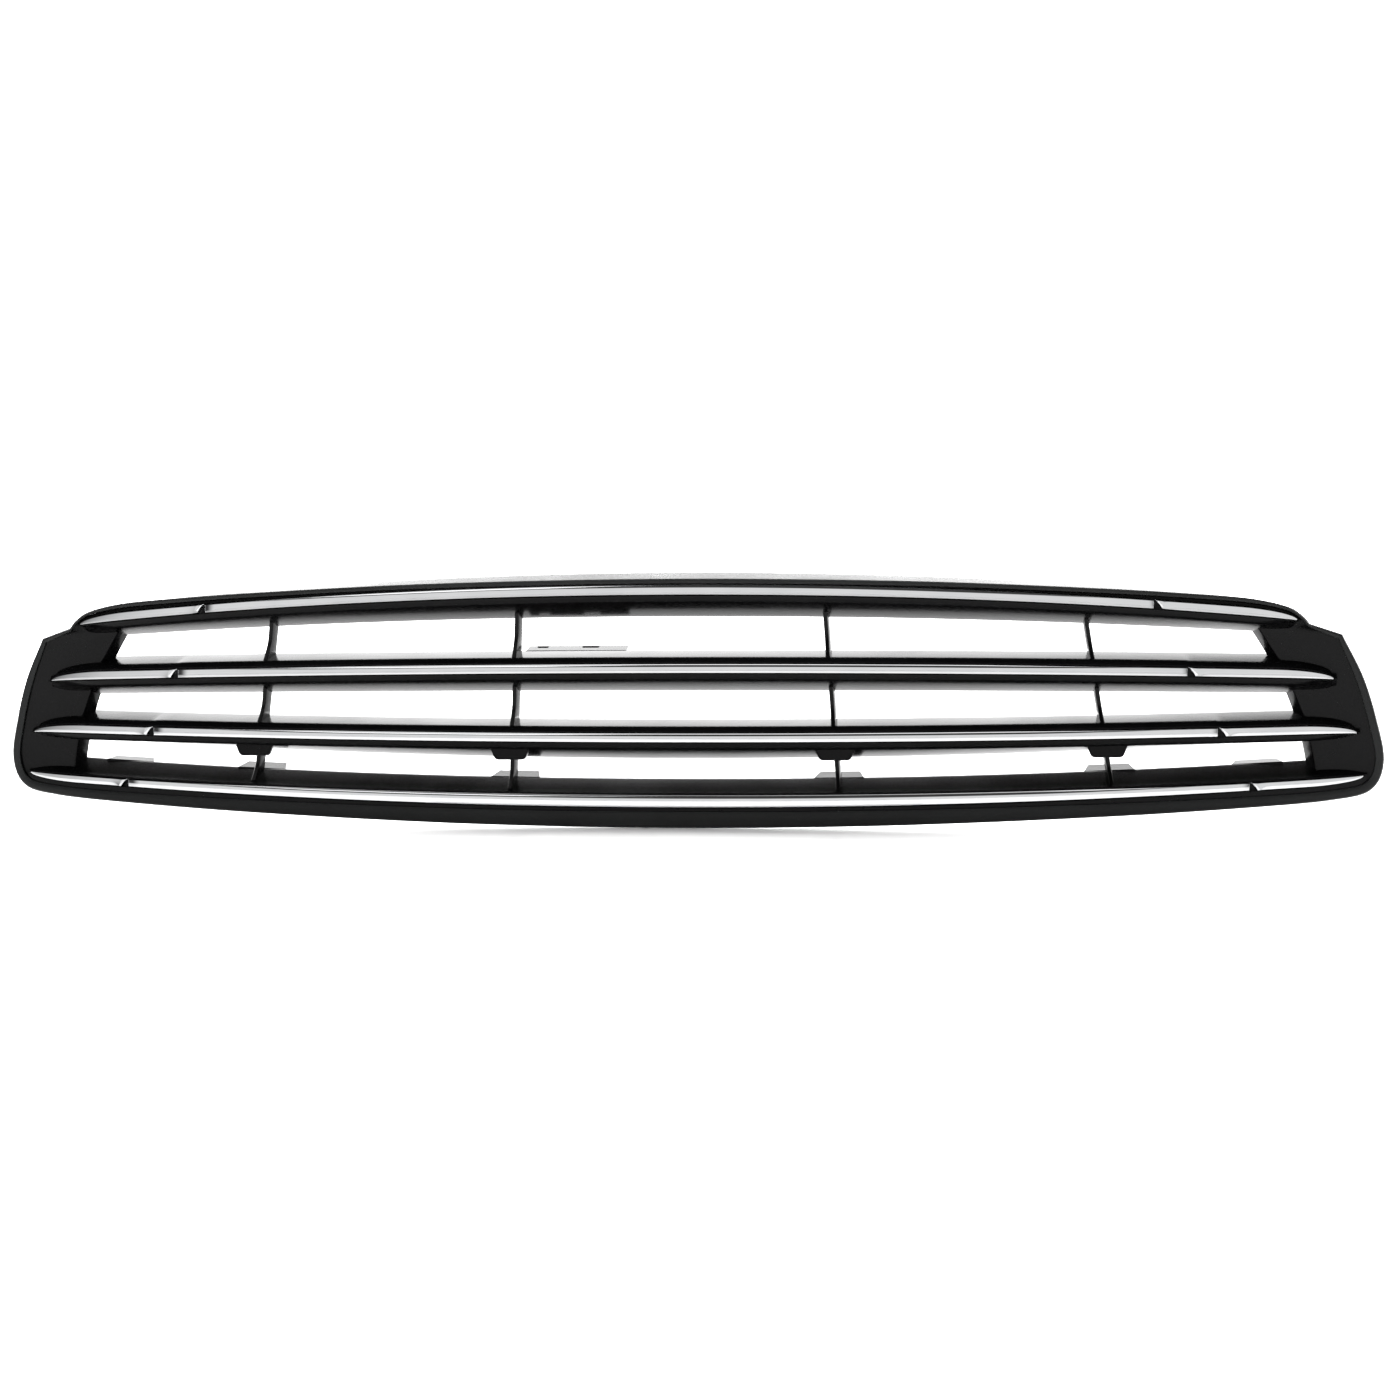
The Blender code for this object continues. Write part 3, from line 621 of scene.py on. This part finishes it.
def ears():
    """Ears of the insert that the screws hold."""
    made = []
    for name, x, z, base in screw_places():
        if "upper" in name:
            span = (opening_edge(0, "upper", x) + 0.9, z + BOSS_HEIGHT / 2 - 0.4)
        else:
            span = (z - BOSS_HEIGHT / 2 + 0.4, opening_edge(2, "lower", x) - 0.9)
        shape = soft_outline(rectangle(x - EAR_HALF, x + EAR_HALF, *span), 1.5)
        made.append(plate("ear", shape, base + EAR[0], base + EAR[1], 0.4))
    return made


def insert():
    """The whole black moulding."""
    right = [pocket()] + [rib(*column, row) for column in RIB_COLUMNS for row in range(3)]
    bosses = [rib_boss(side * (middle + lean * 30.0)) for side in (-1, 1)
              for middle, lean in RIB_COLUMNS]
    parts = blades() + right + [flipped(part) for part in right] + bosses + tongues() + ears()
    dress(joined("insert_moulding", parts), "gloss_black_abs", "insert")


# Chrome

def strip_ring(index, x, shift=0.0, sink=0.0, squeeze=0.0):
    """A strip's section: top facet, shallow crease that fades outward, face and rounded lower edge.

    shift slants it, sink draws its face back and squeeze narrows it, for the strip's cut ends.
    """
    low, high = strip_span(index, x)
    low, high = low + squeeze, max(high - squeeze, low + squeeze + 0.5)
    height = high - low
    small = min(1.0, height / 6.0)
    crown = 0.07 * small
    crease = 0.42 * min(max((STRIPS[index]["joint"] - 10.0 - abs(x)) / 150.0, 0.05), 1.0)
    lower = [(STRIP_BACK, low, 0.2), (0.9 * small, low, 0.6 * small)]
    face = [(crown * (2 * t - 1) ** 2, low + (0.07 + 0.64 * t) * height, 0.0)
            for t in np.linspace(0.0, 1.0, 7)]
    facet = [(crown + crease * small, high - 0.15 * height, 0.1), (1.25 * small, high, 0.6 * small),
             (STRIP_BACK, high, 0.2)]
    base = base_y(index, x)
    return [(x + shift * max((high - z) / height, 0.0) ** 0.62, base + d + sink * (1 - d / STRIP_BACK), z)
            for d, z in rounded(lower + face + facet)]


def stud_places():
    """Each strip's name with its blade and the x of its studs."""
    places = []
    for index, strip in enumerate(STRIPS):
        number = index + 1
        centre = [side * share * strip["joint"] for side in (-1, 1) for share in CENTRE_STUDS]
        places.append((f"chrome_strip_center_{number}", index, sorted(centre)))
        for side, word in ((-1, "left"), (1, "right")):
            start, end = side * strip["joint"], side * strip["tip"]
            studs = [start + share * (end - start) for share in END_STUDS]
            places.append((f"chrome_strip_{word}_{number}", index, studs))
    return places


def strips():
    """The twelve chrome strips with their studs."""
    for name, index, studs in stud_places():
        joint, tip = STRIPS[index]["joint"], STRIPS[index]["tip"]
        if "center" in name:
            xs = np.linspace(-joint + 0.8, joint - 0.8, 91)
            rings = [strip_ring(index, -joint, 0.0, 0.9, 0.35), strip_ring(index, -joint + 0.25, 0.0, 0.3)]
            rings += [strip_ring(index, x) for x in xs]
            rings += [strip_ring(index, joint - 0.25, 0.0, 0.3), strip_ring(index, joint, 0.0, 0.9, 0.35)]
        else:
            side = -1 if "left" in name else 1
            start = joint + JOINT_GAP
            rings = [strip_ring(index, side * start, side * JOINT_SLANT, 0.9, 0.3),
                     strip_ring(index, side * (start + 0.3), side * JOINT_SLANT, 0.3)]
            for x in np.linspace(start + 1.0, tip - TAPER_LENGTH, 14)[:-1]:
                slant = JOINT_SLANT * max(1.0 - (x - start) / 12.0, 0.0)
                rings.append(strip_ring(index, side * x, side * slant))
            rings += [strip_ring(index, side * x)
                      for x in np.linspace(tip - TAPER_LENGTH, tip - JOINT_GAP, 22)]
        parts = [solid(name, rings, sharp=50.0)]
        for x in studs:
            base, z = base_y(index, x), strip_middle(index, x)
            profile = [(0.0, base + 2.2), (STUD_RADIUS, base + 2.2), (STUD_RADIUS, base + STUD_END - 0.7),
                       (STUD_RADIUS - 0.7, base + STUD_END), (0.0, base + STUD_END)]
            parts.append(lathe("stud", profile, x, z, 20))
        dress(joined(name.replace("strip", "trim"), parts), "chrome", name)


def push_nuts():
    """A toothed, slightly domed push nut on every stud."""
    for name, index, studs in stud_places():
        for count, x in enumerate(studs, 1):
            node = name.replace("chrome_strip", "push_nut") + f"_{count}"
            front = base_y(index, x) + INSIDE + GAP + 0.15
            profile = [(NUT_RADIUS - 0.1, front + 0.25), (NUT_RADIUS - 0.1, front + 0.5),
                       (NUT_RADIUS - 0.9, front + 0.75), (2.9, front + 0.85), (2.2, front + 1.15),
                       (2.2, front + 0.75), (2.9, front + 0.4), (NUT_RADIUS - 0.7, front + 0.3)]

            def teeth(k, radius):
                return 0.55 if radius < 2.5 and k % 6 == 0 else 0.0

            nut = lathe("nut", profile, x, strip_middle(index, x), 30, teeth)
            nut.name = node.replace("push_nut", "push_on_nut")
            dress(nut, "spring_steel", node)


# The surround

def surround_ring_section(lip, depth, flare):
    """The surround's L section with its soft edges, as (outward, depth)."""
    return rounded([(-lip, 0.5, 0.5), (-lip * 0.55, -0.35, 1.2), (-1.4, -0.25, 1.0), (0.0, 2.1, 1.4),
                    (flare * 0.97, depth - 0.9, 0.3), (flare - 0.2, depth, 0.4),
                    (flare - SKIN, depth, 0.5), (-SKIN, LIP_BACK, 0.8), (-lip, LIP_BACK - 0.3, 0.4)], 4)


def surround_rings():
    """Sections all round the outline, square to it."""
    edge = outline()
    rings = []
    for before, here, after in zip([edge[-1]] + edge[:-1], edge, edge[1:] + [edge[0]]):
        one, two = here[:2] - before[:2], after[:2] - here[:2]
        along = one / np.linalg.norm(one) + two / np.linalg.norm(two)
        along /= np.linalg.norm(along)
        outward = np.array((-along[1], along[0]))
        flare = TOP_FLARE * max(1.0 - (here[0] / FLARE_END) ** 2, 0.0) if here[1] > 69.5 else 0.0
        ring = []
        for n, depth in surround_ring_section(here[2], here[3], flare):
            x, z = here[0] + outward[0] * n, here[1] + outward[1] * n
            ring.append((x, face_y(x, z) + depth, z))
        rings.append(ring)
    return rings


def lug_places():
    """Name, x, z and rear face of each mounting lug's hole."""
    places = []
    for side in (-1, 1):
        x = side * LUG_XS["upper"]
        places.append(("upper", x, edge_height(x, True) - 8.0, base_y(0, x) + EAR[1]))
        x = side * LUG_XS["lower"]
        places.append(("lower", x, edge_height(x, False) + 11.0, base_y(3, x) + EAR[1]))
        places.append(("side", side * LUG_XS["side"], 0.0, face_y(543.0, 0.0) + 24.6))
    return places


def holed_plate(shape, x, z, radius, front, rear, bevel=0.4):
    """A flat plate with a round hole, its edges softened."""
    outer = np.array(shape, float)
    angles = np.arange(48) * 2 * math.pi / 48

    def on_outline(angle):
        way = np.array((math.cos(angle), math.sin(angle)))
        best = 1e9
        for k in range(len(outer)):
            a, b = outer[k] - (x, z), outer[(k + 1) % len(outer)] - (x, z)
            edge = b - a
            cross = way[0] * edge[1] - way[1] * edge[0]
            if abs(cross) > 1e-9:
                t = (a[0] * edge[1] - a[1] * edge[0]) / cross
                s = (a[0] * way[1] - a[1] * way[0]) / cross
                if t > 0 and -1e-6 <= s <= 1 + 1e-6:
                    best = min(best, t)
        return best

    rings = []
    for angle in angles:
        far, c, s = on_outline(angle), math.cos(angle), math.sin(angle)
        ring = [(radius + bevel, front), (far - bevel, front), (far, front + bevel),
                (far, rear - bevel), (far - bevel, rear), (radius + bevel, rear),
                (radius, rear - bevel), (radius, front + bevel)]
        rings.append([(x + r * c, y, z + r * s) for r, y in ring])
    return solid("lug", rings, loop=True)


def lugs():
    """The plates that the grille is bolted to the car by."""
    plates = []
    for where, x, z, rear in lug_places():
        span, reach = (x - LUG_HALF, x + LUG_HALF), UPPER_LUG
        if where == "lower":
            reach = LOWER_LUG
        elif where == "side":
            inward, outward = SIDE_LUG_REACH
            out = math.copysign(1.0, x)
            span, reach = sorted((x - out * inward, x + out * outward)), SIDE_LUG
        shape = soft_outline(rectangle(*span, z + reach[0], z + reach[1]), 2.5)
        plates.append(holed_plate(shape, x, z, LUG_HOLE, rear - LUG_THICKNESS, rear))
    return plates


def screw_blocks():
    """The surround's blocks that take the screws."""
    blocks = []
    for name, x, z, base in screw_places():
        half = BOSS_HEIGHT / 2
        span = (z - half, z + half + 1.2) if "upper" in name else (z - half - 2.4, z + half)
        shape = soft_outline(rectangle(x - EAR_HALF, x + EAR_HALF, *span), 1.0)
        blocks.append(plate("block", shape, base + BOSS_FRONT, base + EAR[0] - GAP, 0.5))
    return blocks


def surround():
    """The textured outer ring with everything moulded on it."""
    ring = solid("ring", surround_rings(), loop=True, sharp=38.0)
    parts = [ring] + screw_blocks() + lugs()
    dress(joined("surround_moulding", parts), "textured_black_abs", "surround")


def screws():
    """Pan-head screws with a cross recess, seen from behind."""
    for name, x, z, base in screw_places():
        seat = base + EAR[1] + GAP
        radius, height = SCREW_HEAD
        profile = [(0.0, seat - SCREW_LENGTH + 1.0), (1.2, seat - SCREW_LENGTH + 1.4)]
        for k in range(9):
            y = seat - SCREW_LENGTH + 2.0 + k * 0.7
            profile += [(1.7, y), (1.35, y + 0.35)]
        profile += [(1.7, seat), (radius - 0.1, seat), (radius - 0.05, seat + 0.9),
                    (radius - 0.8, seat + height - 0.6), (radius - 2.0, seat + height - 0.05),
                    (0.0, seat + height)]
        screw = lathe("screw", profile, x, z, 32)
        cutters = []
        for long_x, long_z in ((2.1, 0.45), (0.45, 2.1)):
            shape = rectangle(x - long_x, x + long_x, z - long_z, z + long_z)
            cutters.append(plate("cutter", shape, seat + height - 1.2, seat + height + 1.0, 0.05))
        for cutter in cutters:
            change = screw.modifiers.new("cut", "BOOLEAN")
            change.operation = "DIFFERENCE"
            change.solver = "EXACT"
            change.object = cutter
            cutter.hide_render = True
        bpy.context.view_layer.update()
        cut = bpy.data.meshes.new_from_object(
            screw.evaluated_get(bpy.context.evaluated_depsgraph_get()))
        screw.modifiers.clear()
        screw.data = cut
        for cutter in cutters:
            bpy.data.objects.remove(cutter)
        cut.set_sharp_from_angle(angle=math.radians(35))
        screw.name = name.replace("screw", "pan_head_screw")
        dress(screw, "zinc_plated_steel", name)


# Materials

def new_material(name):
    """A material with its node tree, its shader and a mapping in object space."""
    made = bpy.data.materials.new(name)
    made.use_nodes = True
    nodes, links = made.node_tree.nodes, made.node_tree.links
    coords = nodes.new("ShaderNodeTexCoord")
    return made, nodes, links, nodes["Principled BSDF"], coords.outputs["Object"]


def noise(nodes, links, coords, scale, detail=3.0, roughness=0.55):
    """A noise texture's value."""
    made = nodes.new("ShaderNodeTexNoise")
    made.inputs["Scale"].default_value = scale
    made.inputs["Detail"].default_value = detail
    made.inputs["Roughness"].default_value = roughness
    links.new(coords, made.inputs["Vector"])
    return made.outputs["Fac"]


def between(nodes, links, value, low, high, start=0.3, end=0.7):
    """A value spread between two numbers."""
    made = nodes.new("ShaderNodeMapRange")
    made.inputs["From Min"].default_value = start
    made.inputs["From Max"].default_value = end
    made.inputs["To Min"].default_value = low
    made.inputs["To Max"].default_value = high
    links.new(value, made.inputs["Value"])
    return made.outputs["Result"]


def tint(nodes, links, value, dark, light):
    """A colour between two, by a value."""
    made = nodes.new("ShaderNodeValToRGB")
    made.color_ramp.elements[0].color = (*dark, 1.0)
    made.color_ramp.elements[1].color = (*light, 1.0)
    made.color_ramp.elements[0].position = 0.3
    made.color_ramp.elements[1].position = 0.7
    links.new(value, made.inputs["Fac"])
    return made.outputs["Color"]


def bump(nodes, links, height, strength, distance, below=None):
    """A bump, on top of another one if given."""
    made = nodes.new("ShaderNodeBump")
    made.inputs["Strength"].default_value = strength
    made.inputs["Distance"].default_value = distance
    links.new(height, made.inputs["Height"])
    if below is not None:
        links.new(below, made.inputs["Normal"])
    return made.outputs["Normal"]


def gloss_black():
    """Smooth moulded plastic: deep black, faint flow marks and a light film of dust."""
    made, nodes, links, shader, coords = new_material("gloss_black_plastic")
    flow = noise(nodes, links, coords, 9.0, 4.0)
    fine = noise(nodes, links, coords, 420.0, 2.0)
    links.new(tint(nodes, links, flow, (0.0022, 0.0022, 0.0024), (0.0045, 0.0045, 0.0048)),
              shader.inputs["Base Color"])
    links.new(between(nodes, links, flow, 0.17, 0.25), shader.inputs["Roughness"])
    ripple = bump(nodes, links, noise(nodes, links, coords, 38.0, 2.0), 0.06, 0.0015)
    links.new(bump(nodes, links, fine, 0.05, 0.0002, ripple), shader.inputs["Normal"])
    shader.inputs["Specular IOR Level"].default_value = 0.12
    return made


def textured_black():
    """Grained plastic with a satin sheen."""
    made, nodes, links, shader, coords = new_material("textured_black_plastic")
    grain = nodes.new("ShaderNodeTexVoronoi")
    grain.inputs["Scale"].default_value = 1400.0
    links.new(coords, grain.inputs["Vector"])
    cloud = noise(nodes, links, coords, 14.0, 4.0)
    links.new(tint(nodes, links, cloud, (0.006, 0.0064, 0.0064), (0.011, 0.012, 0.012)),
              shader.inputs["Base Color"])
    links.new(between(nodes, links, cloud, 0.27, 0.34), shader.inputs["Roughness"])
    shader.inputs["Specular IOR Level"].default_value = 0.2
    pebble = bump(nodes, links, grain.outputs["Distance"], 0.35, 0.0003)
    links.new(bump(nodes, links, noise(nodes, links, coords, 700.0, 2.0), 0.2, 0.0002, pebble),
              shader.inputs["Normal"])
    return made


def chrome_plate():
    """Bright plating on plastic, with the faintest waves."""
    made, nodes, links, shader, coords = new_material("bright_chrome")
    wave = noise(nodes, links, coords, 26.0, 2.0)
    links.new(tint(nodes, links, wave, (0.80, 0.81, 0.82), (0.86, 0.865, 0.87)),
              shader.inputs["Base Color"])
    links.new(between(nodes, links, noise(nodes, links, coords, 160.0, 3.0), 0.035, 0.08),
              shader.inputs["Roughness"])
    links.new(bump(nodes, links, wave, 0.05, 0.001), shader.inputs["Normal"])
    shader.inputs["Metallic"].default_value = 1.0
    return made


def dark_steel():
    """Tempered spring steel with a brown and blue cast."""
    made, nodes, links, shader, coords = new_material("tempered_steel")
    cast = noise(nodes, links, coords, 300.0, 3.0)
    links.new(tint(nodes, links, cast, (0.20, 0.19, 0.19), (0.36, 0.36, 0.38)),
              shader.inputs["Base Color"])
    links.new(between(nodes, links, cast, 0.28, 0.45), shader.inputs["Roughness"])
    links.new(bump(nodes, links, noise(nodes, links, coords, 1800.0, 2.0), 0.15, 0.0001),
              shader.inputs["Normal"])
    shader.inputs["Metallic"].default_value = 1.0
    return made


def zinc():
    """Zinc plating, slightly cloudy."""
    made, nodes, links, shader, coords = new_material("zinc_plating")
    cloud = noise(nodes, links, coords, 500.0, 4.0)
    links.new(tint(nodes, links, cloud, (0.56, 0.56, 0.53), (0.70, 0.70, 0.68)),
              shader.inputs["Base Color"])
    links.new(between(nodes, links, cloud, 0.22, 0.38), shader.inputs["Roughness"])
    links.new(bump(nodes, links, cloud, 0.1, 0.0001), shader.inputs["Normal"])
    shader.inputs["Metallic"].default_value = 1.0
    return made


def floor_material():
    """Pale, slightly glossy studio floor."""
    made, nodes, links, shader, coords = new_material("pale_floor")
    links.new(between(nodes, links, noise(nodes, links, coords, 3.0, 2.0), 0.18, 0.26),
              shader.inputs["Roughness"])
    shader.inputs["Base Color"].default_value = (0.9, 0.9, 0.9, 1.0)
    return made


# Studio

def studio():
    """A pale floor, a room with a bright rear wall and a pale band in front, and soft lamps."""
    bpy.ops.mesh.primitive_plane_add(size=FLOOR_SIZE, location=(0.0, 0.0, cad_box[0][2] - FLOOR_DROP))
    floor = bpy.context.object
    floor.name = "floor"
    floor.data.materials.append(floor_material())

    world = bpy.data.worlds.new("room")
    bpy.context.scene.world = world
    world.use_nodes = True
    nodes, links = world.node_tree.nodes, world.node_tree.links
    coords = nodes.new("ShaderNodeTexCoord")
    split = nodes.new("ShaderNodeSeparateXYZ")
    links.new(coords.outputs["Generated"], split.inputs["Vector"])

    def smooth(value, start, end, low, high):
        made = nodes.new("ShaderNodeMapRange")
        made.interpolation_type = "SMOOTHSTEP"
        made.inputs["From Min"].default_value = start
        made.inputs["From Max"].default_value = end
        made.inputs["To Min"].default_value = low
        made.inputs["To Max"].default_value = high
        links.new(value, made.inputs["Value"])
        return made.outputs["Result"]

    def maths(operation, one, two):
        made = nodes.new("ShaderNodeMath")
        made.operation = operation
        links.new(one, made.inputs[0])
        links.new(two, made.inputs[1])
        return made.outputs["Value"]

    behind = maths("MULTIPLY", smooth(split.outputs["Y"], 0.05, 0.5, 0.0, BACK_LIGHT),
                   smooth(split.outputs["Z"], 0.47, 0.60, 1.0, 0.0))
    before = maths("MULTIPLY", smooth(split.outputs["Y"], -0.6, -0.85, 0.0, BAND_LIGHT),
                   smooth(split.outputs["Z"], 0.2, 0.36, 1.0, 0.0))
    above = smooth(split.outputs["Z"], 0.84, 0.96, CEILING_LIGHT, ZENITH_LIGHT)
    links.new(maths("ADD", above, maths("ADD", behind, before)), nodes["Background"].inputs["Strength"])
    nodes["Background"].inputs["Color"].default_value = (1.0, 1.0, 1.0, 1.0)

    for name, place, size, power in LAMPS:
        lamp = bpy.data.lights.new(name, "AREA")
        lamp.size, lamp.energy = size, power
        holder = bpy.data.objects.new(name, lamp)
        holder.location = place
        holder.rotation_euler = (-Vector(place)).to_track_quat("-Z", "Y").to_euler()
        holder.visible_glossy = name != "overhead"
        bpy.context.collection.objects.link(holder)


def camera():
    """The camera: level with the grille, a little to the right of the middle."""
    lens = bpy.data.cameras.new("camera")
    lens.sensor_width = 36.0
    lens.lens = CAMERA_LENS
    lens.clip_end = 60.0
    holder = bpy.data.objects.new("camera", lens)
    holder.location = CAMERA_PLACE
    holder.rotation_euler = [math.radians(a) for a in CAMERA_TURN]
    bpy.context.collection.objects.link(holder)
    bpy.context.scene.camera = holder


MATERIALS = {
    "gloss_black_abs": gloss_black(), "textured_black_abs": textured_black(),
    "chrome": chrome_plate(), "spring_steel": dark_steel(), "zinc_plated_steel": zinc(),
}

camera()
studio()
surround()
insert()
strips()
push_nuts()
screws()
bpy.context.scene.view_settings.view_transform = "Standard"
